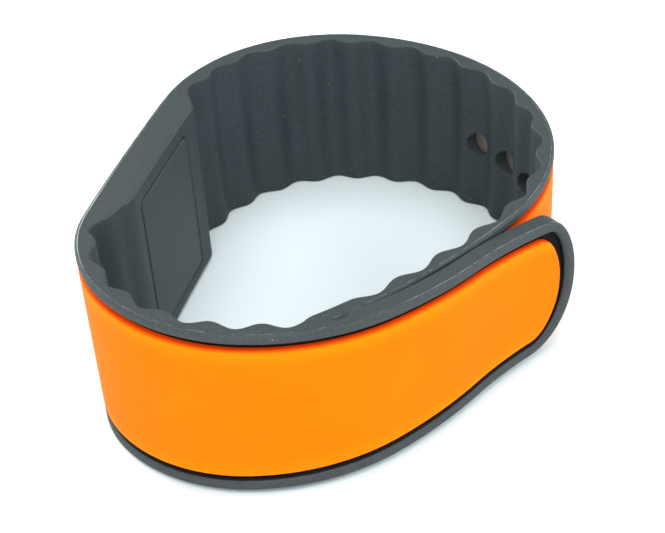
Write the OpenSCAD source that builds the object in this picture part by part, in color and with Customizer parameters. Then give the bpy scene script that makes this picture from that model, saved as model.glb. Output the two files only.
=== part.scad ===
// Adjustable silicone wristband, fastened into a loop and standing on its edge.
// Sizes are in millimetres, +Z is up and the floor is z = 0.
// The origin lies on the floor, in the middle of the loop's footprint.
//
// The band is one strip with a thick pod in the middle. Both of its arms are walked from one start
// point at the pod, along a guide line that keeps one depth under the outer face. The hole arm goes
// clockwise around the far side and ends inside. The peg arm goes anticlockwise around the near side
// and ends outside, on top of the hole arm. A place along the band is called u: it counts up along
// the hole arm and down along the peg arm. Depth is measured inward from the outer face.

/* [Band] */
// Height of the band at the pod
band_height = 26.5; // [25:0.5:28]
// Thickness in the dips of the wavy inner face
dip_thickness = 1.6; // [1.4:0.05:1.65]
// How far the waves rise out of the dips
wave_rise = 1.1; // [0.7:0.1:1.1]
// Thickness of the pod
pod_thickness = 5.2; // [4.8:0.2:5.6]
// Length of the curve from the top edge down to the tip of an end
end_above = 4.6; // [4:0.2:5.4]
// Length of the curve from the bottom edge up to the tip of an end
end_below = 8; // [6.5:0.5:9]

/* [Colour strip] */
// Height of the rims above and below the strip
rim_height = 1.5; // [1.4:0.1:1.8]
// Depth of the recess that holds the strip
recess_depth = 0.8; // [0.7:0.05:0.85]
// Gap between a rim and the strip
groove = 0.6; // [0.4:0.1:0.8]
// Width of the rim around the ends of the strip
end_rim = 1.6; // [1.4:0.1:1.8]
// Gap between that rim and the strip's own end
end_groove = 0.7; // [0.5:0.1:1]

/* [Holes and clasp] */
// Radius of the adjusting holes
hole_radius = 1.85; // [1.8:0.05:2]
// Radius of the clasp's pegs
peg_radius = 1.65; // [1.5:0.05:1.65]
// Radius of the flare at the end of a peg
flare_radius = 2.1; // [1.9:0.05:2.2]

/* [Pod cover] */
// Length of the cover along the band
cover_length = 18; // [16:0.5:18]
// Height of the cover
cover_height = 21.4; // [19:0.2:21.4]
// Thickness of the cover
cover_thickness = 1; // [0.8:0.1:1.5]
// Corner radius of the cover
cover_radius = 1; // [0.5:0.5:3]
// Gap around the cover
cover_gap = 0.2; // [0.15:0.05:0.3]

/* [Hidden] */
$fn = 48;
// Bends of the two arms, one row each: length along the guide line, then degrees of turn.
// A turn above nothing curls towards the inside of the loop.
LENGTH = 0;
TURN = 1;
HOLE_ARM = [
    [20, 1.3],
    [12.8, 25.3],
    [24.5, 62.5],
    [37.2, 69.3],
    [24.6, 50.8],
    [12.8, 7],
    [22.4, 16.3]
];
PEG_ARM = [
    [12, 1.6],
    [15.8, 50.3],
    [17.9, 48.5],
    [19.1, 39.8],
    [13.8, 12.2],
    [18.9, -16.5]
];
// Where the walk starts, and the heading of the hole arm there
start = [-26.85, -1.1];
start_heading = 74.25;
// Depth of the guide line under the outer face
guide_depth = 1.3;

// The band narrows from this far along each arm
taper_from = 17;
// Drop of the top edge for each millimetre of length, on the two arms
hole_arm_drop = 0.04;
peg_arm_drop = 0.07;
// Rise of the peg arm's bottom edge for each millimetre of length
peg_arm_rise = 0.016;
// Height of an end's tip, as a share of the band's height there
tip_share = 0.55;
// The curves of an end stop short of the tip at this share of their height, and leave a small flat there
tip_flat = 0.2;

// First crest and spacing of the waves on each arm, and the number of the last crest
hole_first_crest = 6.7;
hole_wave_pitch = 6.89;
hole_last_crest = 20;
peg_first_crest = 6;
peg_wave_pitch = 6.13;
peg_last_crest = 9;
// The hole arm is this much thicker on the far side of the loop, and this much thinner at its end,
// with a smooth change between two places
hole_arm_change = 0.3;
change_from = 60;
change_to = 120;
// Steps of the loft in one wave, and the least share of a step before the first of them
wave_steps = 6;
least_step = 0.5;
// Longest step of the loft past the last crest
plain_step = 2.2;

// The feet and tops of the pod's two ramps, as places along the band
pod_near_foot = -15.7;
pod_near_top = -7;
pod_far_top = 16.8;
pod_far_foot = 21;
// The far ramp leaves the pod's top at a soft edge: 1 would be a straight ramp
pod_far_curve = 1.4;
// Steps of the loft in one ramp
ramp_steps = 6;
// The middle of the cover along the band
cover_middle = 3.9;

// Edge roundings of the section: outer lip, inner lip, and the rims' edges at the groove
outer_lip = 0.4;
inner_lip = 0.3;
rim_edge = 0.6;
// The strip's thickness leaves a small gap behind it
strip_thickness = recess_depth - 0.1;
strip_edge = 0.5;
// The strip's top corner starts to round off this much before the band's own
strip_early = 1.9;

// Adjusting holes follow the dips after these crests, a little towards the pod and below the middle
first_hole = 10;
last_hole = 19;
hole_back = 0.9;
hole_drop = 0.75;
// The clasp's two pegs go through these holes
first_peg = 16;
second_peg = 17;
// The clasp's plate and how far it stands outside the hole arm's outer face
plate_length = 13.4;
plate_height = 8;
plate_thickness = 0.8;
plate_radius = 1.5;
plate_offset = 0.2;
plate_gap = 0.12;
// A peg runs straight this far past the thickness of a dip, then flares and ends in a plain face
peg_past_dip = 1.1;
flare_length = 0.6;
peg_end = 0.5;

// Short step that closes the recess at its ends
wall_step = 0.05;
// Chamfer of the band's two ends
end_chamfer = 0.3;
// Degrees between the sections that round off an end
end_steps = 15;
// Room between the strip's even sections and its rounded end
strip_end_room = 1;
// How far a cutter runs past the face that it cuts
reach = 1;
// The same, where another part of the band is near
short_reach = 0.1;

hole_arm_length = total(HOLE_ARM);
peg_arm_length = total(PEG_ARM);
full_thickness = dip_thickness + wave_rise;
radian = 180 / PI;

// Length of all rows together
function total(rows, i = 0) = i == len(rows) ? 0 : rows[i][LENGTH] + total(rows, i + 1);

// The end of an arc that starts at [x, y, heading]
function along(at, length, turn) =
    let (half = turn / 2, chord = turn == 0 ? length : length * radian * sin(half) / half)
    [at.x + chord * cos(at.z + half), at.y + chord * sin(at.z + half), at.z + turn];

// [x, y, heading] at a length along an arm; side is 1 for anticlockwise and -1 for clockwise
function walk(rows, length, side, at, i = 0) =
    length <= rows[i][LENGTH] || i == len(rows) - 1
        ? along(at, length, side * rows[i][TURN] * length / rows[i][LENGTH])
        : walk(rows, length - rows[i][LENGTH], side, along(at, rows[i][LENGTH], side * rows[i][TURN]), i + 1);

// [x, y, direction of the outward normal] on the guide line at u
function spot(u) =
    let (at = u < 0
            ? walk(PEG_ARM, -u, 1, [start.x, start.y, start_heading + 180])
            : walk(HOLE_ARM, u, -1, [start.x, start.y, start_heading]))
    [at.x, at.y, at.z + (u < 0 ? -90 : 90)];

// A point of the band from a spot, a depth under the outer face and a height
function place(at, depth, z) =
    [at.x + (guide_depth - depth) * cos(at.z), at.y + (guide_depth - depth) * sin(at.z), z];

// Heights of the band's edges, before the ends are rounded
function top_edge(u) =
    band_height - (u < 0 ? peg_arm_drop : hole_arm_drop) * max(abs(u) - taper_from, 0);
function bottom_edge(u) = u < 0 ? peg_arm_rise * max(-u - taper_from, 0) : 0;

// Length of the arm that u lies on, and the height of the tip at its end
function end_of(u) = u < 0 ? peg_arm_length : hole_arm_length;
function tip_height(u) =
    let (end = u < 0 ? -peg_arm_length : hole_arm_length, low = bottom_edge(end))
    low + tip_share * (top_edge(end) - low);

// Share of the height that an end's curve has left at a length along the arm
function curve_left(length, end, curve) =
    let (into = (length - end + curve) / curve)
    into <= 0 ? 1 : max(sqrt(max(1 - into * into, 0)), tip_flat);

// Height of the band's outline at u, or of a line inside it by one inset along the edges and another
// at the tip; side is 1 for the top and -1 for the bottom, and early lengthens the top curve
function outline(u, side, inset = 0, end_inset = 0, early = 0) =
    let (edge = (side > 0 ? top_edge(u) : bottom_edge(u)) - side * inset,
         curve = (side > 0 ? end_above + early : end_below) - end_inset,
         tip = tip_height(u))
    tip + (edge - tip) * curve_left(abs(u), end_of(u) - end_inset, curve);

// Smooth step from 0 to 1
function ease(x) =
    let (c = max(0, min(1, x)))
    c * c * (3 - 2 * c);

// Thickness with the waves, then with the pod
function wave(u) =
    let (first = u < 0 ? peg_first_crest : hole_first_crest,
         pitch = u < 0 ? peg_wave_pitch : hole_wave_pitch,
         last = u < 0 ? peg_last_crest : hole_last_crest,
         count = (abs(u) - first) / pitch,
         change = u < 0 ? 0 : hole_arm_change * (1 - 2 * ease((u - change_from) / (change_to - change_from))))
    dip_thickness + change + (count > last ? wave_rise : wave_rise * (1 + cos(360 * count)) / 2);
function pod(u) =
    let (far = max(0, min(1, (pod_far_foot - u) / (pod_far_foot - pod_far_top))))
    min(ease((u - pod_near_foot) / (pod_near_top - pod_near_foot)), 1 - pow(1 - far, pod_far_curve));
function thickness(u) = wave(u) + (pod_thickness - wave(u)) * pod(u);

// One section of the band with fourteen points, anticlockwise from the bottom of the outer lip
function band_section(u, recessed, chamfer = 0) =
    let (at = spot(u),
         low = outline(u, -1) + chamfer,
         high = outline(u, 1) - chamfer,
         recess_low = outline(u, -1, rim_height, end_rim),
         recess_high = outline(u, 1, rim_height, end_rim),
         back = thickness(u) - chamfer,
         share = (high - low - 2 * outer_lip) / 7,
         rims = recessed
             ? [[0, recess_low - rim_edge], [rim_edge, recess_low], [recess_depth, recess_low],
                [recess_depth, recess_high], [rim_edge, recess_high], [0, recess_high + rim_edge]]
             : [for (i = [1:6]) [chamfer, low + outer_lip + share * i]],
         outline = concat(
             [[outer_lip + chamfer, low], [chamfer, low + outer_lip]],
             rims,
             [[chamfer, high - outer_lip], [outer_lip + chamfer, high],
              [back - inner_lip, high], [back, high - inner_lip],
              [back, low + inner_lip], [back - inner_lip, low]]))
    [for (p = outline) place(at, p[0], p[1])];

// One section of the colour strip with six points
function strip_section(u) =
    let (at = spot(u),
         low = outline(u, -1, rim_height + groove, end_rim + end_groove),
         high = outline(u, 1, rim_height + groove, end_rim + end_groove, strip_early))
    [for (p = [[strip_thickness, low], [strip_edge, low], [0, low + strip_edge],
               [0, high - strip_edge], [strip_edge, high], [strip_thickness, high]])
        place(at, p[0], p[1])];

// Places from the foot of a wavy stretch to its last crest, in steps of the waves, then evenly to the end
function wavy_places(from, first, pitch, last, to) =
    concat(
        [for (i = [ceil((from - first) / pitch * wave_steps + least_step):last * wave_steps])
            first + i * pitch / wave_steps],
        let (crest = first + last * pitch, n = ceil((to - crest) / plain_step))
        [for (i = [1:n]) crest + (to - crest) * i / n]);

// Places along the straight pod with its two ramps
function ramp_places(from, to) = [for (i = [0:ramp_steps]) from + (to - from) * i / ramp_steps];
pod_places = concat(ramp_places(pod_near_foot, pod_near_top), [0], ramp_places(pod_far_top, pod_far_foot));

// Lengths where the curves of an end turn by even steps, from one angle to another
function curve_places(end, curve, from, to) =
    [for (a = [from:end_steps:to]) end - curve * (1 - sin(a))];

// All the sections of one arm's end that have the recess, from the pod outward
function arm_places(end, foot, first, pitch, last) =
    concat(wavy_places(foot, first, pitch, last, end - end_below),
           curve_places(end, end_below, end_steps, 45),
           [end - end_rim]);
hole_places = arm_places(hole_arm_length, pod_far_foot, hole_first_crest, hole_wave_pitch, hole_last_crest);
peg_places = arm_places(peg_arm_length, -pod_near_foot, peg_first_crest, peg_wave_pitch, peg_last_crest);

// Places of the strip: every second one of the band's up to the strip's own curves, then those curves
strip_curve = end_below - end_rim - end_groove;
function strip_places(places, end) =
    let (tip = end - end_rim - end_groove)
    concat([for (i = [0:2:len(places) - 1]) if (places[i] < tip - strip_curve - strip_end_room) places[i]],
           curve_places(tip, strip_curve, 0, 90));

// Closed sections near one end, where the recess has stopped; side is 1 for the hole arm
function closed_sections(end, side) =
    concat(
        [band_section(side * (end - end_rim + wall_step), false)],
        [for (u = curve_places(end, end_below, 60, 75)) band_section(side * u, false)],
        [band_section(side * end, false, end_chamfer)]);

function reversed(list) = [for (i = [len(list) - 1:-1:0]) list[i]];
function negative(list) = [for (x = list) -x];

// Skin over a row of sections that all have the same number of points
module loft(sections) {
    n = len(sections[0]);
    m = len(sections);
    points = [for (s = sections) for (p = s) p];
    sides = [for (k = [0:m - 2]) for (i = [0:n - 1])
        let (a = k * n + i, b = k * n + (i + 1) % n)
        each [[a, a + n, b + n], [a, b + n, b]]];
    first_cap = [for (i = [0:n - 1]) i];
    last_cap = [for (i = [n - 1:-1:0]) (m - 1) * n + i];
    polyhedron(points = points, faces = concat(sides, [first_cap, last_cap]), convexity = 10);
}

// Moves its children to a place on the band, with +Z pointing out of the outer face and +Y up
module on_band(u, z) {
    at = spot(u);
    translate(place(at, 0, z))
        rotate([90, 0, at.z + 90])
            children();
}

// Flat plate with rounded corners, standing on its back face, centred in the other two directions
module rounded_plate(length, height, thick, radius) {
    translate([-length / 2 + radius, -height / 2, 0])
        cube([length - 2 * radius, height, thick]);
    translate([-length / 2, -height / 2 + radius, 0])
        cube([length, height - 2 * radius, thick]);
    for (x = [-1, 1])
        for (y = [-1, 1])
            translate([x * (length / 2 - radius), y * (height / 2 - radius), 0])
                cylinder(r = radius, h = thick);
}

// Place along the band and height of adjusting hole i
function hole_u(i) = hole_first_crest + (i + 0.5) * hole_wave_pitch - hole_back;
function hole_height(u) = (top_edge(u) + bottom_edge(u)) / 2 - hole_drop;

// A row of adjusting holes, as the cylinders that cut them from one depth to inside the loop
module hole_cutters(first, last, from_depth) {
    for (i = [first:last])
        on_band(hole_u(i), hole_height(hole_u(i)))
            translate([0, 0, -full_thickness - reach])
                cylinder(r = hole_radius, h = full_thickness + reach - from_depth);
}

clasp_u = (hole_u(first_peg) + hole_u(second_peg)) / 2;

// The clasp's plate, grown by a gap where it cuts its own pocket
module clasp_plate(gap) {
    on_band(clasp_u, hole_height(clasp_u))
        translate([0, 0, plate_offset - gap])
            rounded_plate(plate_length + 2 * gap, plate_height + 2 * gap, plate_thickness + 2 * gap,
                plate_radius + gap);
}

// One peg, from inside the plate through the hole arm to its flared end
module peg(i) {
    offset_along = (i == first_peg ? -1 : 1) * hole_wave_pitch / 2;
    straight = dip_thickness + peg_past_dip;
    on_band(clasp_u, hole_height(clasp_u))
        translate([offset_along, 0, 0]) {
            translate([0, 0, -straight])
                cylinder(r = peg_radius, h = straight + plate_offset + plate_thickness / 2);
            translate([0, 0, -straight - flare_length])
                cylinder(r1 = flare_radius, r2 = peg_radius, h = flare_length);
            translate([0, 0, -straight - flare_length - peg_end])
                cylinder(r = flare_radius, h = peg_end);
        }
}

// The cover's plate in the pod's inner face. The pocket that it lies in is wider by grow, and
// rises past the face.
module cover_plate(grow, rise) {
    at = spot(cover_middle);
    translate(place(at, pod_thickness, band_height / 2))
        rotate([90, 0, at.z - 90])
            translate([0, 0, -cover_thickness - grow])
                rounded_plate(cover_length + 2 * grow, cover_height + 2 * grow,
                    cover_thickness + grow + rise, cover_radius + grow);
}

// Silicone band in one piece
module carrier_band() {
    color("#4f5959")
        difference() {
            loft(concat(
                reversed(closed_sections(peg_arm_length, -1)),
                [for (u = concat(reversed(negative(peg_places)), pod_places, hole_places))
                    band_section(u, true)],
                closed_sections(hole_arm_length, 1)));
            hole_cutters(first_hole, last_hole, recess_depth - short_reach);
            clasp_plate(plate_gap);
            cover_plate(cover_gap, reach);
        }
}

// Orange silicone strip in the recess of the outer face, end to end. Only the two pegs go through it.
module colour_strip() {
    color("#ff9420")
        difference() {
            loft([for (u = concat(reversed(negative(strip_places(peg_places, peg_arm_length))), pod_places,
                                  strip_places(hole_places, hole_arm_length)))
                strip_section(u)]);
            hole_cutters(first_peg, second_peg, -short_reach);
        }
}

// Flat panel set flush in the pod's inner face
module pod_cover() {
    color("#485154")
        cover_plate(0, 0);
}

// Hidden fastening in one piece: a plate in the peg arm's inner face, with two pegs
module clasp() {
    color("#3a4042") {
        clasp_plate(0);
        peg(first_peg);
        peg(second_peg);
    }
}

carrier_band();
colour_strip();
pod_cover();
clasp();
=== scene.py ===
"""Silicone wristband, dark grey with an orange outer strip, fastened into a loop and standing on its edge.

A place on the band is given by u, the length along its middle line from the pod, and by its height. On the
hole arm u is positive, and that arm ends inside; on the peg arm u is negative, and that arm ends outside.
Depth is measured inward from the outer face, and margin is measured inward from the band's outline. Side is
1 along the top edge and -1 along the bottom edge.
"""

import math

import bmesh
import bpy
from mathutils import Matrix, Vector


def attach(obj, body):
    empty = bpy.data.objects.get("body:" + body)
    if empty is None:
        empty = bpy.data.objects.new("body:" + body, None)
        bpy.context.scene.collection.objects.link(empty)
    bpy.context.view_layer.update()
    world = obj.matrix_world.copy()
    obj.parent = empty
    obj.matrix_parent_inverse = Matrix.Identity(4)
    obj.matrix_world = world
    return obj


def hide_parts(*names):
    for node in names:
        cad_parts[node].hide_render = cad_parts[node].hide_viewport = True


bl_info = {
    "name": "Silicone wristband",
    "version": (1, 0, 0),
    "blender": (4, 5, 0),
    "location": "3D View > Sidebar > Wristband",
    "description": "Builds a two-colour silicone wristband with its studio around the packed part",
    "category": "Object",
}

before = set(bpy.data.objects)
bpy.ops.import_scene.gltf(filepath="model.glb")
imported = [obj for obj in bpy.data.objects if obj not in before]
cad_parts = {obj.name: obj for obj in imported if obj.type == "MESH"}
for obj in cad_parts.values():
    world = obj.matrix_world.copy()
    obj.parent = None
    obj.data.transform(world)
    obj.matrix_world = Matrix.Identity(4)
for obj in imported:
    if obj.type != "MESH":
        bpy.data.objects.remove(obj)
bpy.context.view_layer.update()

MM = 0.001


# Shape of the band

# Bends of the two arms from the pod outward: length in millimetres, then degrees of turn
HOLE_ARM = ((20, 1.3), (12.8, 25.3), (24.5, 62.5), (37.2, 69.3), (24.6, 50.8), (12.8, 7), (22.4, 16.3))
PEG_ARM = ((12, 1.6), (15.8, 50.3), (17.9, 48.5), (19.1, 39.8), (13.8, 12.2), (18.9, -16.5))
HOLE_ARM_LENGTH = sum(row[0] for row in HOLE_ARM) * MM
PEG_ARM_LENGTH = sum(row[0] for row in PEG_ARM) * MM
# Where both arms start, and the heading of the hole arm there in degrees
START = (-26.85 * MM, -1.1 * MM)
START_HEADING = 74.25
# Depth of the middle line under the outer face
MIDDLE_DEPTH = 1.3 * MM

# From this far along each arm the edges come closer together, by these shares of the length beyond it
TAPER_FROM = 17 * MM
HOLE_ARM_DROP = 0.04
PEG_ARM_DROP = 0.07
PEG_ARM_RISE = 0.016
# Each end is a short curve above its tip and a long one below it: length and fullness of the curve, by side
END_CURVE = {1: (4.6 * MM, 2.0), -1: (8 * MM, 2.1)}
# Height of the tip as a share of the band's height there
TIP_SHARE = 0.55
# From this margin inward, where the strip lies, the top curve of an end is longer by so much
STRIP_OUTLINE = 1.85 * MM
STRIP_EARLY = 1.9 * MM

# First crest, spacing and last crest of the waves, in millimetres along each arm
HOLE_WAVES = (6.7, 6.89, 20)
PEG_WAVES = (6, 6.13, 9)
# The hole arm is this much thicker on the far side and this much thinner at its end, and changes between
# these two places
HOLE_ARM_CHANGE = 0.3 * MM
CHANGE_FROM = 60 * MM
CHANGE_TO = 120 * MM
# The feet and tops of the pod's two ramps, in millimetres, and how full the curve of the far one is
POD_RAMPS = (-15.7, -7, 16.8, 21)
FAR_RAMP_FULLNESS = 1.4

# The cover in the pod's inner face, and the gap round it
COVER_MIDDLE = 3.9 * MM
COVER_LENGTH = 18 * MM
COVER_HEIGHT = 21.4 * MM
COVER_THICKNESS = 1 * MM
COVER_RADIUS = 1 * MM
COVER_SOFTENED = 0.2 * MM
COVER_GAP = 0.2 * MM
# The gap is wider at the cover's near side and at its top, and the pocket's rim is chamfered
POCKET_LONGER = 0.12 * MM
POCKET_TALLER = 0.06 * MM
POCKET_CHAMFER = 0.2 * MM

# The adjusting holes lie near the dips after these crests, a little towards the pod and below the middle
HOLES = range(10, 20)
PEGGED = (16, 17)
HOLE_RADIUS = 1.85 * MM
HOLE_BACK = 0.9 * MM
HOLE_DROP = 0.75 * MM
# Length of a hole's cutter, enough to pass the inner face
CUTTER_LENGTH = 3.4 * MM


# Edges of the band and of the strip, in millimetres

# The rim's foot lies further in than the rim's height by so much, and the strip's edge further in than its
# margin. Here and below, three values are for the top edge, the bottom edge and the tips
RIM_EXTRA = (0.2, 0.32, 0.24)
STRIP_EXTRA = (0.2, 0.24, 0.6)
# Room between the strip's back and the floor of the recess
SEAT_GAP = 0.06
# The floor and the strip's back are flat as far out as the first margin, and reach the depth of their edge
# by the second
FLOOR_MARGINS = (3.3, 3.0)
BACK_MARGINS = (3.3, 3.05)
# At the tips the floor shows as a ledge that reaches this far out past the strip, at this depth
LEDGE_WIDTH = 0.45
LEDGE_DEPTH = 0.42
# The ledge slopes by so much, from so far inside its edge, and its side leans by so much
LEDGE_SLOPE = 0.02
LEDGE_BACK = (0.5, 0.5, 0.1)
LEDGE_SIDE = 0.03
# Corner between the groove and the rim's side, as margin and depth
GROOVE_CORNER = (0.06, 0.08)
# The rim rounds over from this height above the groove, across this width
RIM_WALL = 0.25
RIM_ROUNDING = 0.8
# Rounded corner between the outer face and the edge's own face, as margin and depth
OUTER_CORNER = (0.36, 0.3)
# The flash stands out by this much at this depth; its feet are chamfered
FLASH_RISE = 0.05
FLASH_DEPTH = 0.39
FLASH_WIDTH = 0.05
FLASH_FOOT = 0.03
BACK_START = FLASH_DEPTH + FLASH_WIDTH + FLASH_FOOT
# Places of the mesh's rows between the flash and the lip, as shares of the way
FACE_SHARES = (0.08, 0.2, 0.35, 0.6, 0.8, 1.0)
# Radius of the lip along the inner wall, and how much rounder the pod's bottom edge is
LIP = 0.28
POD_BOTTOM_LIP = 0.8
# Where the two middle sheets start, on the floor of the recess and on the inner wall, and the rows on the
# way there
SHEET_MARGIN = 3.6
WALL_MARGINS = (1.4, 1.8, SHEET_MARGIN)
# Depth of the strip's side, the corner at its foot, and the width of its rounding, which is less deep than
# wide and leaves some of the side upright
STRIP_DEEP = (0.95, 0.95, 0.36)
STRIP_CORNER = (0.1, 0.06)
STRIP_ROUNDING = (0.5, 0.35, 0.4)
STRIP_OVAL = 0.8
STRIP_UPRIGHT = 0.1

# The band's texture rows count the points of its edge profile from the flash: below zero in front of it, up
# to FACE_ROWS across the edge's own face behind it, and WALL_ROWS more on the inner wall, from a margin of
# WALL_FROM
FACE_ROWS = 2
WALL_ROWS = 3
WALL_FROM = 1.2
FLASH_ROWS = (-0.1, 0.0, 0.05)
# Shade is painted into the skin from this many rows in front of the flash on, down into the groove; along the
# bottom edge the rows run ahead by so many, which makes the painted shade wider
GROOVE_ROW = 16.2
ROWS_AHEAD = (0.0, 3.0, 0.0)
# Each step across a middle sheet is so many rows
SHEET_STEP_ROWS = 3
# The strip's rows are millimetres from its edge, and start past its painted edge shade along the bottom edge
# and past its painted shoulder highlight at the tips
STRIP_FIRST_ROW = (0.0, 0.4, 2.4)


# Fineness of the meshes

COLUMN_SPACING = 0.55 * MM
END_COLUMNS = 26
SHEET_STEPS = 6
ROUND_STEPS = 10
CORNER_STEPS = 5
MERGED_WITHIN = 0.0005 * MM
DEGENERATE_UNDER = 0.0002 * MM
SHARP = math.radians(38)
COVER_SHARP = math.radians(50)


# Finishes

SILICONE_IOR = 1.41
# The grain of an eroded mould is about 0.1 mm across, too fine to show, so it is drawn coarser
GRAIN_SIZE = 0.3 * MM
# Specular level of the band's skin outside the groove, and what is left of its colour deep in the groove,
# where shade is painted in; the specular level drops there by the same share
FULL_SHEEN = 0.5
GROOVE_SHADE = 0.2
# Painted light: shares of red, green and blue in the skin behind the flash, a darker and greener painted
# shade, and on the inner wall, a painted bluish bounce light, next to the skin in front
BEHIND_SHADE_TINT = (0.87, 0.94, 0.91, 1.0)
WALL_BOUNCE_TINT = (0.83, 0.9, 0.95, 1.0)
# The same for the painted highlight on the rounded shoulder of the orange strip, next to its face
SHOULDER_HIGHLIGHT = (1.0, 1.22, 1.4, 1.0)
NO_TINT = (1.0, 1.0, 1.0, 1.0)
# How strongly the flash shows at places along the band, in millimetres: most from -19 to -9 mm, where a
# painted highlight lies on it, and little along the front
FLASH_LEVELS = (
    (-97.5, 0.2), (-80, 0.18), (-70, 0.22), (-66, 0.18), (-64, 0.12), (-57, 0.1), (-53, 0.06), (-30, 0.08),
    (-24, 0.25), (-19, 0.9), (-9, 1.0), (0, 0.35), (20, 0.15), (90, 0.1), (112, 0.2), (154.3, 0.16),
)


# Studio, in metres, watts and degrees

# Each softbox has a name, a place, a size, a power and the linear colour of its light
SOFTBOXES = (
    ("overhead_softbox", (0.0, 0.0, 0.9), 0.9, 7.8, (1.0, 1.0, 1.0)),
    ("front_high_softbox", (0.0, -0.8, 0.8), 0.8, 5.9, (1.0, 1.0, 1.0)),
    ("front_low_softbox", (0.0, -1.1, 0.25), 0.6, 6.4, (1.0, 1.0, 1.0)),
    ("left_softbox", (-1.0, 0.0, 0.5), 0.7, 4.3, (1.0, 1.0, 0.97)),
    ("right_softbox", (1.0, 0.0, 0.5), 0.7, 8.0, (0.97, 1.0, 1.0)),
    ("back_left_softbox", (-0.8, 0.8, 0.4), 0.6, 11.7, (1.0, 1.0, 0.95)),
    ("back_right_softbox", (0.8, 0.8, 0.4), 0.6, 4.0, (1.0, 1.0, 1.0)),
)
LIT_POINT = (0, 0, 0.01)
FLOOR_REACH = 3.0
WORLD_STRENGTH = 0.03
# The eye looks down along +Y, with the horizon tipped
EYE = (-0.157 * MM, -161.78 * MM, 119.88 * MM)
LOOK_DOWN = 34.94
HORIZON_TIP = -4.043
# Focal length and sensor width in millimetres
LENS = 75.09
SENSOR_WIDTH = 36.0


def hex_colour(text):
    """Linear red, green and blue of an sRGB hex value."""
    parts = [int(text[i : i + 2], 16) / 255 for i in (1, 3, 5)]
    return [p / 12.92 if p <= 0.04045 else ((p + 0.055) / 1.055) ** 2.4 for p in parts]


class BandSizes(bpy.types.PropertyGroup):
    band_height: bpy.props.FloatProperty(
        name="Band height", description="Height at the pod", default=26.5 * MM, unit="LENGTH",
    )
    dip_thickness: bpy.props.FloatProperty(
        name="Dip thickness", description="Thickness in the dips of the inner face",
        default=1.6 * MM, unit="LENGTH",
    )
    wave_rise: bpy.props.FloatProperty(
        name="Wave rise", description="How far the waves rise out of the dips",
        default=1.1 * MM, unit="LENGTH",
    )
    pod_thickness: bpy.props.FloatProperty(
        name="Pod thickness", description="Thickness of the pod", default=5.2 * MM, unit="LENGTH",
    )
    rim_height: bpy.props.FloatProperty(
        name="Rim height", description="Height of the rims above and below the strip",
        default=1.4 * MM, unit="LENGTH",
    )
    strip_margin: bpy.props.FloatProperty(
        name="Strip margin", description="From the band's outline to the strip",
        default=2.05 * MM, unit="LENGTH",
    )
    strip_recess: bpy.props.FloatProperty(
        name="Strip recess", description="How deep the strip's face lies behind the rims",
        default=0.02 * MM, unit="LENGTH",
    )
    strip_back: bpy.props.FloatProperty(
        name="Strip back", description="Depth of the strip's back under the outer face",
        default=0.75 * MM, unit="LENGTH",
    )
    groove_depth: bpy.props.FloatProperty(
        name="Groove depth", description="Depth of the groove between rim and strip",
        default=1.05 * MM, unit="LENGTH",
    )


class FinishColours(bpy.types.PropertyGroup):
    grey: bpy.props.FloatVectorProperty(
        name="Band", description="Colour of the grey silicone",
        default=hex_colour("#363D40"), subtype="COLOR",
    )
    # The flash's pale colour is partly its own and partly a painted highlight
    grey_light: bpy.props.FloatVectorProperty(
        name="Band flash", description="Colour of the thin moulding flash",
        default=hex_colour("#AEB9B0"), subtype="COLOR",
    )
    orange: bpy.props.FloatVectorProperty(
        name="Strip", description="Colour of the orange silicone",
        default=hex_colour("#FC7400"), subtype="COLOR",
    )
    # Painted shade: the deeper red-orange that the strip takes where it turns into the groove
    orange_edge_shade: bpy.props.FloatVectorProperty(
        name="Strip edge", description="Deeper orange along the strip's edges",
        default=hex_colour("#F24A04"), subtype="COLOR",
    )
    floor: bpy.props.FloatVectorProperty(
        name="Floor", description="Colour of the studio floor",
        default=hex_colour("#E3EEF1"), subtype="COLOR",
    )


# Course of the band


def ease(x):
    """Smooth step from 0 to 1."""
    c = max(0.0, min(1.0, x))
    return c * c * (3 - 2 * c)


def blend(a, b, share):
    """Value at a share of the way from a to b."""
    return a + (b - a) * share


def by_place(values, side, end_share):
    """One of three values, for the top edge, the bottom edge and the tips, with end_share of the last one."""
    top, bottom, tip = values
    return blend(top if side == 1 else bottom, tip, end_share)


def walk(rows, length, side, x, y, heading):
    """Place and heading after a length along the bends of one arm; side 1 turns anticlockwise."""
    for number, (row_length, turn) in enumerate(rows):
        whole = row_length * MM
        last = length <= whole or number == len(rows) - 1
        part = length if last else whole
        angle = math.radians(side * turn) * part / whole
        chord = part * math.sin(angle / 2) / (angle / 2) if angle else part
        x += chord * math.cos(heading + angle / 2)
        y += chord * math.sin(heading + angle / 2)
        heading += angle
        if last:
            break
        length -= whole
    return x, y, heading


def band_point(u, z, depth):
    """Point of the band at u, at a height and at a depth under the outer face."""
    heading = math.radians(START_HEADING)
    if u < 0:
        x, y, heading = walk(PEG_ARM, -u, 1, *START, heading + math.pi)
        outward = heading - math.pi / 2
    else:
        x, y, heading = walk(HOLE_ARM, u, -1, *START, heading)
        outward = heading + math.pi / 2
    reach = MIDDLE_DEPTH - depth
    return Vector((x + reach * math.cos(outward), y + reach * math.sin(outward), z))


def arm_length(u):
    """Length of the arm that u is on."""
    return PEG_ARM_LENGTH if u < 0 else HOLE_ARM_LENGTH


def edge_heights(u):
    """Heights of the bottom and top edge, before the ends are rounded."""
    sizes = bpy.context.scene.band_sizes
    beyond = max(abs(u) - TAPER_FROM, 0)
    if u < 0:
        return PEG_ARM_RISE * beyond, sizes.band_height - PEG_ARM_DROP * beyond
    return 0.0, sizes.band_height - HOLE_ARM_DROP * beyond


def pod_share(u):
    """1 on the pod and 0 on the plain band, with the two ramps between."""
    near_foot, near_top, far_top, far_foot = POD_RAMPS
    at = u / MM
    near = ease((at - near_foot) / (near_top - near_foot))
    far = max(0.0, min(1.0, (far_foot - at) / (far_foot - far_top)))
    return min(near, 1 - (1 - far) ** FAR_RAMP_FULLNESS)


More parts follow.
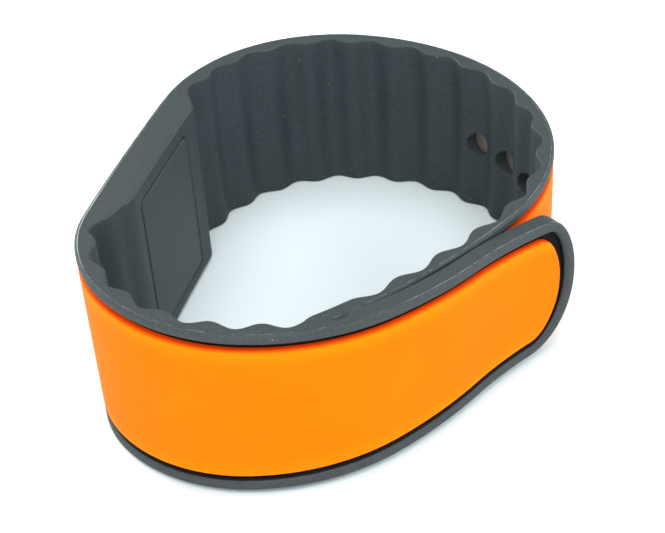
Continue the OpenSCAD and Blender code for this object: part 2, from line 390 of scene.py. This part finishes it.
def thickness(u):
    """Thickness of the band, with its waves and the pod."""
    sizes = bpy.context.scene.band_sizes
    first, pitch, last = PEG_WAVES if u < 0 else HOLE_WAVES
    count = (abs(u) / MM - first) / pitch
    wave = 1.0 if count > last else (1 + math.cos(2 * math.pi * count)) / 2
    plain = sizes.dip_thickness + sizes.wave_rise * wave
    if u > 0:
        plain += HOLE_ARM_CHANGE * (1 - 2 * ease((u - CHANGE_FROM) / (CHANGE_TO - CHANGE_FROM)))
    return blend(plain, sizes.pod_thickness, pod_share(u))


def face_frame(origin, behind):
    """Matrix with its origin on a face, +Z away from a point behind the face and +Y up."""
    facing = (origin - behind).normalized()
    up = Vector((0, 0, 1))
    return Matrix.Translation(origin) @ Matrix((up.cross(facing), up, facing)).transposed().to_4x4()


def hole_frame(i):
    """Matrix with its origin on the outer face over hole i, +Z outward and +Y up."""
    first, pitch, _ = HOLE_WAVES
    u = (first + (i + 0.5) * pitch) * MM - HOLE_BACK
    low, high = edge_heights(u)
    z = (low + high) / 2 - HOLE_DROP
    return face_frame(band_point(u, z, 0.0), band_point(u, z, MIDDLE_DEPTH))


def cover_frame():
    """Matrix with its origin on the pod's inner face, +Z into the loop and +Y up."""
    sizes = bpy.context.scene.band_sizes
    z = sizes.band_height / 2
    return face_frame(band_point(COVER_MIDDLE, z, sizes.pod_thickness), band_point(COVER_MIDDLE, z, 0.0))


# Outline and edge profiles


def columns_along():
    """Values of u for the columns of the band, closer together towards the two tips."""
    length, fullness = END_CURVE[-1]
    quarter_turns = [math.pi / 2 * i / END_COLUMNS for i in range(END_COLUMNS)]
    end = [length * (1 - math.cos(a) ** (2 / fullness)) for a in quarter_turns]
    start, stop = -PEG_ARM_LENGTH + length, HOLE_ARM_LENGTH - length
    count = round((stop - start) / COLUMN_SPACING)
    middle = [start + (stop - start) * i / count for i in range(count + 1)]
    return [-PEG_ARM_LENGTH + t for t in end] + middle + [HOLE_ARM_LENGTH - t for t in reversed(end)]


def ring_along(columns):
    """Columns round the whole outline, along the top edge and back along the bottom edge: u and side."""
    return [(u, 1) for u in columns] + [(u, -1) for u in columns[-2:0:-1]]


def into_end(u, length):
    """How far u lies into an end's curve of this length: from 0 to 1, and below 0 before the curve."""
    return (abs(u) - arm_length(u) + length) / length


def ring_spot(u, side, margin):
    """u and height of the point that lies a margin inside the outline, in the column at u."""
    length, fullness = END_CURVE[side]
    if side == 1 and margin > STRIP_OUTLINE:
        length += STRIP_EARLY
    into = into_end(u, length)
    end = math.copysign(arm_length(u), u)
    if into > 0:
        u = end - math.copysign(length - (length - margin) * into, u)
    edge = edge_heights(u)[(side + 1) // 2] - side * margin
    if into > 0:
        tip = blend(*edge_heights(end), TIP_SHARE)
        edge = blend(tip, edge, max(0.0, 1 - into**fullness) ** (1 / fullness))
    return Vector((u, edge))


def quarter(from_margin, from_depth, to_margin, to_depth, steps, depth_first=False):
    """Points of a quarter oval between two places of a profile, without the first one. It sets off across the
    margins and arrives along the depths, or the other way round with depth_first."""
    found = []
    for i in range(1, steps + 1):
        a = math.pi / 2 * i / steps
        near, far = (1 - math.cos(a), math.sin(a)) if depth_first else (math.sin(a), 1 - math.cos(a))
        found.append((blend(from_margin, to_margin, near), blend(from_depth, to_depth, far)))
    return found


def strip_edge(side, end_share):
    """From the band's outline to the strip, in millimetres."""
    return bpy.context.scene.band_sizes.strip_margin / MM + by_place(STRIP_EXTRA, side, end_share)


def band_front(side, end_share):
    """Front half of the band's edge profile, from the recess floor over the rim to the foot of the flash:
    margin and depth in millimetres. end_share is 0 along the edges and 1 at the tips, where the groove is
    wider and the floor of the recess shows as a ledge beside the strip."""
    sizes = bpy.context.scene.band_sizes
    floor = sizes.strip_back / MM + SEAT_GAP
    groove = sizes.groove_depth / MM
    rim = sizes.rim_height / MM + by_place(RIM_EXTRA, side, end_share)
    ledge = strip_edge(side, end_share) - LEDGE_WIDTH * end_share
    ledge_back = ledge + by_place(LEDGE_BACK, side, end_share)
    flat, turned = FLOOR_MARGINS
    profile = [
        (SHEET_MARGIN, floor),
        (flat, floor),
        (turned, blend(groove, floor, end_share)),
        (ledge_back, blend(groove, LEDGE_DEPTH - LEDGE_SLOPE, end_share)),
        (ledge, blend(groove, LEDGE_DEPTH, end_share)),
        (ledge - LEDGE_SIDE, groove),
        (rim + GROOVE_CORNER[0], groove),
        (rim, groove - GROOVE_CORNER[1]),
    ]
    profile += quarter(rim, groove - RIM_WALL, rim - RIM_ROUNDING, 0.0, ROUND_STEPS, depth_first=True)
    corner, corner_depth = OUTER_CORNER
    profile += [(corner, 0.0)]
    profile += quarter(corner, 0.0, FLASH_RISE, corner_depth, CORNER_STEPS)
    profile += [(FLASH_RISE, FLASH_DEPTH - FLASH_FOOT)]
    return profile


def band_back(side, u):
    """Back half of the band's edge profile, from the flash to the inner wall: margin in millimetres, share of
    the way from the flash to the wall, and how far short of the full thickness in millimetres."""
    lip = LIP + (POD_BOTTOM_LIP * pod_share(u) if side == -1 else 0.0)
    profile = [(FLASH_RISE, share, lip) for share in FACE_SHARES]
    for i in range(1, CORNER_STEPS + 1):
        a = math.pi / 2 * i / CORNER_STEPS
        profile.append((FLASH_RISE + lip * (1 - math.cos(a)), 1.0, lip * (1 - math.sin(a))))
    profile += [(margin, 1.0, 0.0) for margin in WALL_MARGINS]
    return profile


def back_depth(share, short):
    """Function that gives the depth at any u, at a share of the way from the flash to the wall."""
    return lambda u: blend(BACK_START * MM, thickness(u) - short * MM, share)


def band_profile(u, side, end_share):
    """Whole edge profile of the band: margin, depth and texture row of each point. Behind the flash the depth
    is a function of u."""
    front = band_front(side, end_share)
    ahead = by_place(ROWS_AHEAD, side, end_share)
    rows = [(m * MM, d * MM, -i - ahead) for i, (m, d) in zip(range(len(front) + 1, 1, -1), front)]
    outer, crest, inner = FLASH_ROWS
    rows += [
        (0.0, FLASH_DEPTH * MM, outer),
        (0.0, (FLASH_DEPTH + FLASH_WIDTH) * MM, crest),
        (FLASH_RISE * MM, BACK_START * MM, inner),
    ]
    for margin, share, short in band_back(side, u):
        row = FACE_ROWS * share + (WALL_ROWS if margin > WALL_FROM else 0)
        rows.append((margin * MM, back_depth(share, short), row))
    return rows


def strip_profile(_, side, end_share):
    """Edge profile of the strip, the same at every u: margin, depth and texture row of each point."""
    sizes = bpy.context.scene.band_sizes
    back = sizes.strip_back / MM
    face = sizes.strip_recess / MM
    edge = strip_edge(side, end_share)
    deep = by_place(STRIP_DEEP, side, end_share)
    rounding = by_place(STRIP_ROUNDING, side, end_share)
    crown = min(STRIP_OVAL * rounding, deep - STRIP_UPRIGHT)
    flat, turned = BACK_MARGINS
    corner, corner_depth = STRIP_CORNER
    points = [
        (SHEET_MARGIN, back),
        (flat, back),
        (turned, blend(deep, back, end_share)),
        (edge + corner, deep),
        (edge, deep - corner_depth),
    ]
    points += quarter(edge, crown, edge + rounding, face, ROUND_STEPS, depth_first=True)
    points += [(SHEET_MARGIN, face)]
    first_row = by_place(STRIP_FIRST_ROW, side, end_share)
    return [(m * MM, d * MM, m - edge + first_row) for m, d in points]


# Meshes


def grid_sheet(bm, across, along, place, uv_at, finish):
    """Flat grid of across by along faces, with each vertex moved to place(column, row). uv_at(column, row) is
    its place on the texture, and finish(row) is the number of a face's material."""
    made = bmesh.ops.create_grid(bm, x_segments=across, y_segments=along, size=0.5)["verts"]
    uv_layer = bm.loops.layers.uv.verify()
    where = {v: (round((v.co.x + 0.5) * across), round((v.co.y + 0.5) * along)) for v in made}
    for face in {face for vert in made for face in vert.link_faces}:
        face.material_index = finish(min(where[loop.vert][1] for loop in face.loops))
        for loop in face.loops:
            loop[uv_layer].uv = uv_at(*where[loop.vert])
    for vert, (column, row) in where.items():
        vert.co = place(column, row)


def band_sheet(bm, profile_for, finish):
    """Ring of edge profiles round the outline, then the two middle sheets that close it. profile_for(u, side,
    end_share) gives margin, depth and texture row of each point, and finish(row) the number of a material."""
    columns = columns_along()
    ring = ring_along(columns)
    count = len(ring)
    profiles = [profile_for(u, side, ease(into_end(u, END_CURVE[side][0]))) for u, side in ring]
    rows = len(profiles[0])

    def at(i, row):
        margin, depth, _ = profiles[i % count][row]
        spot = ring_spot(*ring[i % count], margin)
        return spot, depth(spot.x) if callable(depth) else depth

    def ring_place(column, row):
        spot, depth = at(column, row)
        return band_point(spot.x, spot.y, depth)

    def ring_uv(column, row):
        return (ring[column % count][0] / MM, profiles[column % count][row][2])

    grid_sheet(bm, count, rows - 1, ring_place, ring_uv, finish)
    for row in (0, rows - 1):

        def middle_place(column, step, row=row):
            top, top_depth = at(column, row)
            bottom, bottom_depth = at(-column, row)
            spot = top.lerp(bottom, step / SHEET_STEPS)
            return band_point(spot.x, spot.y, blend(top_depth, bottom_depth, step / SHEET_STEPS))

        def middle_uv(column, step, row=row):
            inward = min(step, SHEET_STEPS - step) * SHEET_STEP_ROWS
            return (ring[column][0] / MM, profiles[column][row][2] + inward)

        grid_sheet(bm, len(columns) - 1, SHEET_STEPS, middle_place, middle_uv, lambda _, row=row: finish(row))


def shade(bm, sharp):
    """Makes the faces smooth and leaves the edges above the sharp angle crisp."""
    for face in bm.faces:
        face.smooth = True
    for edge in bm.edges:
        edge.smooth = len(edge.link_faces) == 2 and edge.calc_face_angle(0.0) < sharp


def add_object(bm, name, sharp):
    """Makes an object of the mesh, at the origin."""
    shade(bm, sharp)
    mesh = bpy.data.meshes.new(name)
    bm.to_mesh(mesh)
    bm.free()
    made = bpy.data.objects.new(name, mesh)
    bpy.context.scene.collection.objects.link(made)
    return made


def add_band_skin(name, profile_for, finish):
    """Makes a closed object of a ring of edge profiles, with its seams merged and its faces outward."""
    bm = bmesh.new()
    band_sheet(bm, profile_for, finish)
    bmesh.ops.remove_doubles(bm, verts=bm.verts, dist=MERGED_WITHIN)
    bmesh.ops.dissolve_degenerate(bm, edges=bm.edges, dist=DEGENERATE_UNDER)
    bmesh.ops.recalc_face_normals(bm, faces=bm.faces)
    return add_object(bm, name, SHARP)


def cut(target, cutter_bm, name):
    """Cuts a closed mesh out of the target."""
    cutter = add_object(cutter_bm, name, SHARP)
    modifier = target.modifiers.new(name, "BOOLEAN")
    modifier.object = cutter
    modifier.operation = "DIFFERENCE"
    modifier.solver = "EXACT"
    depsgraph = bpy.context.evaluated_depsgraph_get()
    result = bpy.data.meshes.new_from_object(target.evaluated_get(depsgraph))
    target.modifiers.clear()
    spent = (target.data, cutter.data)
    target.data = result
    bpy.data.objects.remove(cutter)
    for mesh in spent:
        bpy.data.meshes.remove(mesh)


def resharpen(made):
    """Shades an object again after cuts."""
    bm = bmesh.new()
    bm.from_mesh(made.data)
    shade(bm, SHARP)
    bm.to_mesh(made.data)
    bm.free()


def hole_cutters(numbers, from_depth):
    """Round cutters for the holes, from a depth under the outer face to inside the loop."""
    bm = bmesh.new()
    for i in numbers:
        bmesh.ops.create_cone(
            bm, cap_ends=True, segments=48, radius1=HOLE_RADIUS, radius2=HOLE_RADIUS, depth=CUTTER_LENGTH,
            matrix=hole_frame(i) @ Matrix.Translation((0, 0, -from_depth - CUTTER_LENGTH / 2)),
        )
    return bm


def rounded_block(length, height, thick, radius, matrix, edge=0.0, flare=0.0):
    """Plate with rounded corners, its front face on the matrix's XY plane. edge softens the front edges, and
    flare makes the front face wider all round."""
    bm = bmesh.new()
    bmesh.ops.create_cube(bm, size=1.0)
    bmesh.ops.scale(bm, vec=(length, height, thick), verts=bm.verts)
    bmesh.ops.translate(bm, vec=(0, 0, -thick / 2), verts=bm.verts)
    upright = [e for e in bm.edges if abs(e.verts[0].co.z - e.verts[1].co.z) > thick / 2]
    bmesh.ops.bevel(bm, geom=upright, offset=radius, segments=8, affect="EDGES", profile=0.5, material=-1)
    if edge:
        front = [e for e in bm.edges if all(v.co.z > -thick / 4 for v in e.verts)]
        bmesh.ops.bevel(bm, geom=front, offset=edge, segments=3, affect="EDGES", profile=0.5, material=-1)
    if flare:
        wider = (1 + 2 * flare / length, 1 + 2 * flare / height, 1)
        bmesh.ops.scale(bm, vec=wider, verts=[v for v in bm.verts if v.co.z > -thick / 2])
    bmesh.ops.transform(bm, matrix=matrix, verts=bm.verts)
    return bm


def cut_pocket(band):
    """Cuts the cover's pocket into the pod, a little wider than the cover needs, then its chamfered rim."""
    length = COVER_LENGTH + 2 * COVER_GAP + POCKET_LONGER
    height = COVER_HEIGHT + 2 * COVER_GAP + POCKET_TALLER
    radius = COVER_RADIUS + COVER_GAP
    # Both cutters start this far above the pod's face
    above = 1 * MM
    at = cover_frame() @ Matrix.Translation((-POCKET_LONGER / 2, POCKET_TALLER / 2, above))
    deep = above + COVER_THICKNESS + COVER_GAP
    cut(band, rounded_block(length, height, deep, radius, at), "pocket")
    rim = above + POCKET_CHAMFER
    cut(band, rounded_block(length, height, rim, radius, at, flare=rim), "pocket_rim")


# Materials


def add_node(tree, kind, inputs=None, **settings):
    """Adds one node to a tree. inputs gives an input, by name or number, the socket that feeds it or its own
    value, and settings are the node's properties."""
    node = tree.nodes.new(kind)
    for name, value in settings.items():
        setattr(node, name, value)
    for key, given in (inputs or {}).items():
        if isinstance(given, bpy.types.NodeSocket):
            tree.links.new(given, node.inputs[key])
        else:
            node.inputs[key].default_value = given
    return node


def new_material(name, **values):
    """Material with one shader, whose inputs start from these values."""
    material = bpy.data.materials.new(name)
    material.use_nodes = True
    tree = material.node_tree
    tree.nodes.clear()
    inputs = {key.replace("_", " "): value for key, value in values.items()}
    shader = add_node(tree, "ShaderNodeBsdfPrincipled", inputs)
    add_node(tree, "ShaderNodeOutputMaterial", {"Surface": shader.outputs["BSDF"]})
    return material, tree, shader


def tinted(values, tint=(1.0, 1.0, 1.0)):
    """A linear colour, times a tint, with its alpha."""
    return (*(value * share for value, share in zip(values, tint)), 1.0)


def paint_light_by_row(tree, tone):
    """Paints light and shade into the band's colour by its rows, and gives how far out of that shade it is.
    """
    uv = add_node(tree, "ShaderNodeUVMap").outputs["UV"]
    row = add_node(tree, "ShaderNodeSeparateXYZ", {"Vector": uv}).outputs["Y"]
    # Painted light: behind the flash the skin is a little greener and darker than in front, as painted shade,
    # and bluer on the inner wall, as painted bluish bounce light
    behind = add_node(tree, "ShaderNodeMapRange", {"Value": row, "From Min": 0.0, "From Max": FLASH_ROWS[2]})
    wall = add_node(
        tree, "ShaderNodeMapRange", {"Value": row, "From Min": WALL_ROWS, "From Max": FACE_ROWS + WALL_ROWS},
    )
    tint = add_node(
        tree, "ShaderNodeMix", {0: wall.outputs["Result"], 6: BEHIND_SHADE_TINT, 7: WALL_BOUNCE_TINT}, data_type="RGBA",
    )
    deeper = add_node(tree, "ShaderNodeVectorMath", {0: tone, 1: tint.outputs[2]}, operation="MULTIPLY")
    skin = add_node(
        tree, "ShaderNodeMix", {0: behind.outputs["Result"], 6: tone, 7: deeper.outputs[0]}, data_type="RGBA",
    )
    # Painted shade: deep in the groove the skin is darkest
    out_of_painted_shade = add_node(
        tree, "ShaderNodeMapRange",
        {"Value": row, "From Min": -GROOVE_ROW - 1, "From Max": -GROOVE_ROW, "To Min": GROOVE_SHADE},
    ).outputs["Result"]
    groove_shaded = add_node(
        tree, "ShaderNodeVectorMath", {0: skin.outputs[2], 1: out_of_painted_shade}, operation="MULTIPLY",
    )
    return groove_shaded.outputs[0], out_of_painted_shade


def moulded_grey(name, tint=1.0, grain=1.0, by_row=False):
    """Silicone or plastic from a spark-eroded mould: dull and dark, with a fine grain and specks of dust."""
    base = [c * tint for c in bpy.context.scene.finish_colours.grey]
    material, tree, shader = new_material(name, Roughness=0.62, IOR=SILICONE_IOR)
    coords = add_node(tree, "ShaderNodeTexCoord").outputs["Object"]
    # Patches of 8 mm that differ a little in depth of colour
    patches = add_node(tree, "ShaderNodeTexNoise", {"Vector": coords, "Scale": 1 / (8 * MM), "Detail": 3.0})
    tone = add_node(
        tree, "ShaderNodeMix",
        {0: patches.outputs["Fac"], 6: tinted(base, (0.9, 0.9, 0.9)), 7: tinted(base, (1.1, 1.1, 1.1))},
        data_type="RGBA",
    ).outputs[2]
    # On the band, light and shade are painted in by its rows, and the specular level drops with the painted
    # groove shade
    if by_row:
        tone, out_of_painted_shade = paint_light_by_row(tree, tone)
        sheen = add_node(tree, "ShaderNodeMath", {0: out_of_painted_shade, 1: FULL_SHEEN}, operation="MULTIPLY")
        tree.links.new(sheen.outputs[0], shader.inputs["Specular IOR Level"])
    # Grain of the mould's eroded skin
    skin = add_node(tree, "ShaderNodeTexNoise", {"Vector": coords, "Scale": 1 / GRAIN_SIZE, "Detail": 3.0})
    contrast = 0.24 * grain
    mottle = add_node(
        tree, "ShaderNodeMapRange",
        {
            "Value": skin.outputs["Fac"], "From Min": 0.32, "From Max": 0.68,
            "To Min": 1 - contrast, "To Max": 1 + contrast,
        },
    )
    grained = add_node(
        tree, "ShaderNodeVectorMath", {0: tone, 1: mottle.outputs["Result"]}, operation="MULTIPLY",
    )
    # Dust: one cell in twelve of a 1.5 mm mesh holds a speck up to 0.15 mm wide
    cells = add_node(tree, "ShaderNodeTexVoronoi", {"Vector": coords, "Scale": 1 / (1.5 * MM)})
    chosen = add_node(tree, "ShaderNodeSeparateColor", {"Color": cells.outputs["Color"]})
    rare = add_node(tree, "ShaderNodeMath", {0: chosen.outputs["Red"], 1: 0.92}, operation="GREATER_THAN")
    near = add_node(tree, "ShaderNodeMath", {0: cells.outputs["Distance"], 1: 0.05}, operation="LESS_THAN")
    speck = add_node(tree, "ShaderNodeMath", {0: rare.outputs[0], 1: near.outputs[0]}, operation="MULTIPLY")
    dusty = add_node(
        tree, "ShaderNodeMix",
        {0: speck.outputs[0], 6: grained.outputs[0], 7: tinted(hex_colour("#9FA8A4"))}, data_type="RGBA",
    )
    tree.links.new(dusty.outputs[2], shader.inputs["Base Color"])
    bump = add_node(
        tree, "ShaderNodeBump",
        {"Height": skin.outputs["Fac"], "Strength": 0.35 * grain, "Distance": 0.04 * MM},
    )
    tree.links.new(bump.outputs["Normal"], shader.inputs["Normal"])
    return material


def fill_ramp(node, stops):
    """Sets a colour ramp to grey levels at places along the band, from the end of the peg arm on."""
    ramp = node.color_ramp
    while len(ramp.elements) < len(stops):
        ramp.elements.new(0.5)
    for element, (u, level) in zip(ramp.elements, stops):
        element.position = (u * MM + PEG_ARM_LENGTH) / (PEG_ARM_LENGTH + HOLE_ARM_LENGTH)
        element.color = (level, level, level, 1.0)


def flash_grey():
    """Thin flash where the two halves of the mould met: paler, partly with a painted highlight, and broken in
    places.
    """
    colours = bpy.context.scene.finish_colours
    material, tree, shader = new_material("silicone_mould_flash", Roughness=0.5, IOR=SILICONE_IOR)
    coords = add_node(tree, "ShaderNodeTexCoord").outputs["Object"]
    uv = add_node(tree, "ShaderNodeUVMap").outputs["UV"]
    along = add_node(tree, "ShaderNodeSeparateXYZ", {"Vector": uv})
    whole = add_node(
        tree, "ShaderNodeMapRange",
        {"Value": along.outputs["X"], "From Min": -PEG_ARM_LENGTH / MM, "From Max": HOLE_ARM_LENGTH / MM},
    )
    # How strongly the flash shows along the band, with its painted highlight
    left = add_node(tree, "ShaderNodeValToRGB", {"Fac": whole.outputs["Result"]})
    fill_ramp(left, FLASH_LEVELS)
    # Breaks every 1.2 mm or so where it shows little
    breaks = add_node(tree, "ShaderNodeTexNoise", {"Vector": coords, "Scale": 1 / (1.2 * MM), "Detail": 3.0})
    broken = add_node(
        tree, "ShaderNodeMapRange",
        {"Value": breaks.outputs["Fac"], "From Min": 0.35, "From Max": 0.65, "To Min": -0.2, "To Max": 0.16},
    )
    shown = add_node(
        tree, "ShaderNodeMath", {0: left.outputs["Color"], 1: broken.outputs["Result"]},
        operation="ADD", use_clamp=True,
    )
    tone = add_node(
        tree, "ShaderNodeMix",
        {0: shown.outputs[0], 6: tinted(colours.grey), 7: tinted(colours.grey_light)}, data_type="RGBA",
    )
    tree.links.new(tone.outputs[2], shader.inputs["Base Color"])
    return material


def moulded_orange():
    """Moulded silicone, pigmented orange: smooth and matte, with painted shade where it turns into the
    groove.
    """
    colours = bpy.context.scene.finish_colours
    material, tree, shader = new_material(
        "moulded_orange_silicone", Roughness=0.6, IOR=SILICONE_IOR, Specular_IOR_Level=0.06,
    )
    coords = add_node(tree, "ShaderNodeTexCoord").outputs["Object"]
    uv = add_node(tree, "ShaderNodeUVMap").outputs["UV"]
    # The texture row is the distance from the strip's edge in millimetres
    row = add_node(tree, "ShaderNodeSeparateXYZ", {"Vector": uv}).outputs["Y"]
    # Painted shade: within 0.42 mm of the edge the strip turns to the deeper edge colour
    edge = add_node(
        tree, "ShaderNodeMapRange", {"Value": row, "From Min": 0.0, "From Max": 0.42},
        interpolation_type="SMOOTHSTEP",
    )
    # Patches of 6 mm that are a little redder or yellower
    patches = add_node(tree, "ShaderNodeTexNoise", {"Vector": coords, "Scale": 1 / (6 * MM), "Detail": 4.0})
    redder = tinted(colours.orange, (1.0, 0.95, 0.9))
    yellower = tinted(colours.orange, (1.0, 1.05, 1.1))
    tone = add_node(
        tree, "ShaderNodeMix", {0: patches.outputs["Fac"], 6: redder, 7: yellower}, data_type="RGBA",
    )
    # Painted highlight: the rounded shoulder inside the edge is a little yellower and brighter
    inward = add_node(
        tree, "ShaderNodeMapRange", {"Value": row, "From Min": 0.6, "From Max": 2.6},
        interpolation_type="SMOOTHSTEP",
    )
    shoulder = add_node(
        tree, "ShaderNodeMix", {0: inward.outputs["Result"], 6: SHOULDER_HIGHLIGHT, 7: NO_TINT}, data_type="RGBA",
    )
    body = add_node(
        tree, "ShaderNodeVectorMath", {0: tone.outputs[2], 1: shoulder.outputs[2]}, operation="MULTIPLY",
    )
    mixed = add_node(
        tree, "ShaderNodeMix",
        {0: edge.outputs["Result"], 6: tinted(colours.orange_edge_shade), 7: body.outputs[0]}, data_type="RGBA",
    )
    tree.links.new(mixed.outputs[2], shader.inputs["Base Color"])
    skin = add_node(tree, "ShaderNodeTexNoise", {"Vector": coords, "Scale": 1 / GRAIN_SIZE, "Detail": 2.0})
    bump = add_node(
        tree, "ShaderNodeBump", {"Height": skin.outputs["Fac"], "Strength": 0.12, "Distance": 0.02 * MM},
    )
    tree.links.new(bump.outputs["Normal"], shader.inputs["Normal"])
    return material


def strip_film():
    """Thin skin of grey silicone on the strip's back, with orange patches at the top of the holes; it closes
    the holes.
    """
    material, tree, shader = new_material("thin_grey_silicone_film", Roughness=0.6, IOR=SILICONE_IOR)
    coords = add_node(tree, "ShaderNodeTexCoord").outputs["Object"]
    # Orange in patches about 1 mm across along the top of the holes
    height = add_node(tree, "ShaderNodeSeparateXYZ", {"Vector": coords})
    patch_noise = add_node(tree, "ShaderNodeTexNoise", {"Vector": coords, "Scale": 1 / (1 * MM), "Detail": 2.0})
    rough = add_node(
        tree, "ShaderNodeMapRange",
        {
            "Value": patch_noise.outputs["Fac"], "From Min": 0.3, "From Max": 0.7,
            "To Min": -0.8 * MM, "To Max": 0.8 * MM,
        },
    )
    level = add_node(
        tree, "ShaderNodeMath", {0: height.outputs["Z"], 1: rough.outputs["Result"]}, operation="ADD",
    )
    shown = add_node(
        tree, "ShaderNodeMapRange",
        {"Value": level.outputs[0], "From Min": 11.9 * MM, "From Max": 12.7 * MM},
    )
    covered = tinted(hex_colour("#7F7472"))
    orange_patch = tinted(hex_colour("#B4614C"))
    tone = add_node(
        tree, "ShaderNodeMix", {0: shown.outputs["Result"], 6: covered, 7: orange_patch}, data_type="RGBA",
    )
    tree.links.new(tone.outputs[2], shader.inputs["Base Color"])
    return material


def paper_floor():
    """Matt background paper, pale and slightly cool, with a faint fibre 2 mm long."""
    colours = bpy.context.scene.finish_colours
    material, tree, shader = new_material("matt_background_paper", Roughness=0.9, Specular_IOR_Level=0.1)
    coords = add_node(tree, "ShaderNodeTexCoord").outputs["Object"]
    fibre = add_node(tree, "ShaderNodeTexNoise", {"Vector": coords, "Scale": 1 / (2 * MM), "Detail": 3.0})
    darker = tinted([c * 0.995 for c in colours.floor])
    lighter = tinted([c * 1.005 for c in colours.floor])
    tone = add_node(tree, "ShaderNodeMix", {0: fibre.outputs["Fac"], 6: darker, 7: lighter}, data_type="RGBA")
    tree.links.new(tone.outputs[2], shader.inputs["Base Color"])
    return material


# Operators


class BuildBand(bpy.types.Operator):
    """Builds the grey band with its rims, waves, pod, holes and flash line"""

    bl_idname = "wristband.build_band"
    bl_label = "Build band"

    def execute(self, context):
        flash_row = len(band_front(1, 0.0)) - 1
        flash_rows = range(flash_row, flash_row + len(FLASH_ROWS))
        band = add_band_skin("carrier_band_skin", band_profile, lambda row: 1 if row in flash_rows else 0)
        band.data.materials.append(moulded_grey("moulded_grey_silicone", by_row=True))
        band.data.materials.append(flash_grey())
        # The holes start in front of the strip's back, so that they pass the floor of the recess
        cut(band, hole_cutters(HOLES, context.scene.band_sizes.strip_back - 0.1 * MM), "holes")
        cut_pocket(band)
        resharpen(band)
        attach(band, "root")
        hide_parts("carrier_band")
        return {"FINISHED"}


class BuildStrip(bpy.types.Operator):
    """Builds the orange strip in the recess of the outer face"""

    bl_idname = "wristband.build_strip"
    bl_label = "Build strip"

    def execute(self, context):
        strip = add_band_skin("colour_strip_skin", strip_profile, lambda row: 1 if row == 0 else 0)
        strip.data.materials.append(moulded_orange())
        strip.data.materials.append(strip_film())
        # The pegs' holes go right through the strip
        cut(strip, hole_cutters(PEGGED, -0.5 * MM), "holes")
        resharpen(strip)
        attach(strip, "root")
        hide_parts("colour_strip")
        return {"FINISHED"}


class BuildCover(bpy.types.Operator):
    """Builds the flat panel set in the pod's inner face"""

    bl_idname = "wristband.build_cover"
    bl_label = "Build pod cover"

    def execute(self, context):
        bm = rounded_block(
            COVER_LENGTH, COVER_HEIGHT, COVER_THICKNESS, COVER_RADIUS, cover_frame(), edge=COVER_SOFTENED,
        )
        cover = add_object(bm, "pod_cover_panel", COVER_SHARP)
        cover.data.materials.append(moulded_grey("fine_grained_grey_plastic", 1.0, 0.6))
        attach(cover, "root")
        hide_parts("pod_cover")
        return {"FINISHED"}


class FinishClasp(bpy.types.Operator):
    """Gives the hidden clasp its dark grey skin"""

    bl_idname = "wristband.finish_clasp"
    bl_label = "Finish clasp"

    def execute(self, context):
        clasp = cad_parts["clasp"]
        clasp.data.materials.clear()
        clasp.data.materials.append(moulded_grey("dull_grey_plastic", 0.7, 0.5))
        return {"FINISHED"}


class BuildStudio(bpy.types.Operator):
    """Sets out the floor, the lights and the camera"""

    bl_idname = "wristband.build_studio"
    bl_label = "Build studio"

    def execute(self, context):
        scene = context.scene
        bm = bmesh.new()
        bmesh.ops.create_grid(bm, x_segments=8, y_segments=8, size=FLOOR_REACH)
        floor = add_object(bm, "floor", math.pi)
        floor.data.materials.append(paper_floor())

        world = bpy.data.worlds.new("soft_studio")
        scene.world = world
        world.use_nodes = True
        background = world.node_tree.nodes["Background"]
        background.inputs["Color"].default_value = tinted(hex_colour("#F7FCFF"))
        background.inputs["Strength"].default_value = WORLD_STRENGTH

        for name, place, size, power, light in SOFTBOXES:
            lamp = bpy.data.lights.new(name, "AREA")
            lamp.shape = "SQUARE"
            lamp.size = size
            lamp.energy = power
            lamp.color = light
            made = bpy.data.objects.new(name, lamp)
            made.location = place
            made.rotation_euler = (Vector(LIT_POINT) - Vector(place)).to_track_quat("-Z", "Y").to_euler()
            scene.collection.objects.link(made)

        down = math.radians(LOOK_DOWN)
        roll = math.radians(HORIZON_TIP)
        forward = Vector((0, math.cos(down), -math.sin(down)))
        upward = Vector((0, math.sin(down), math.cos(down)))
        level = Vector((1, 0, 0))
        right = math.cos(roll) * level + math.sin(roll) * upward
        above = -math.sin(roll) * level + math.cos(roll) * upward
        lens = bpy.data.cameras.new("camera")
        lens.sensor_width = SENSOR_WIDTH
        lens.lens = LENS
        lens.clip_start = 0.01
        lens.clip_end = 20.0
        camera = bpy.data.objects.new("camera", lens)
        turn = Matrix((right, above, -forward)).transposed().to_4x4()
        camera.matrix_world = Matrix.Translation(EYE) @ turn
        scene.collection.objects.link(camera)
        scene.camera = camera
        scene.view_settings.view_transform = "Standard"
        return {"FINISHED"}


class WristbandPanel(bpy.types.Panel):
    bl_idname = "VIEW3D_PT_wristband"
    bl_label = "Wristband"
    bl_space_type = "VIEW_3D"
    bl_region_type = "UI"
    bl_category = "Wristband"

    def draw(self, context):
        for group in (context.scene.band_sizes, context.scene.finish_colours):
            for name in group.bl_rna.properties.keys():
                if name not in ("rna_type", "name"):
                    self.layout.prop(group, name)
        for operator in OPERATORS:
            self.layout.operator(operator.bl_idname)


OPERATORS = (BuildBand, BuildStrip, BuildCover, FinishClasp, BuildStudio)
CLASSES = (BandSizes, FinishColours, *OPERATORS, WristbandPanel)


def register():
    for made in CLASSES:
        bpy.utils.register_class(made)
    bpy.types.Scene.band_sizes = bpy.props.PointerProperty(type=BandSizes)
    bpy.types.Scene.finish_colours = bpy.props.PointerProperty(type=FinishColours)


def unregister():
    del bpy.types.Scene.finish_colours
    del bpy.types.Scene.band_sizes
    for made in reversed(CLASSES):
        bpy.utils.unregister_class(made)


def main():
    register()
    bpy.ops.wristband.build_band()
    bpy.ops.wristband.build_strip()
    bpy.ops.wristband.build_cover()
    bpy.ops.wristband.finish_clasp()
    bpy.ops.wristband.build_studio()


if __name__ == "__main__":
    main()
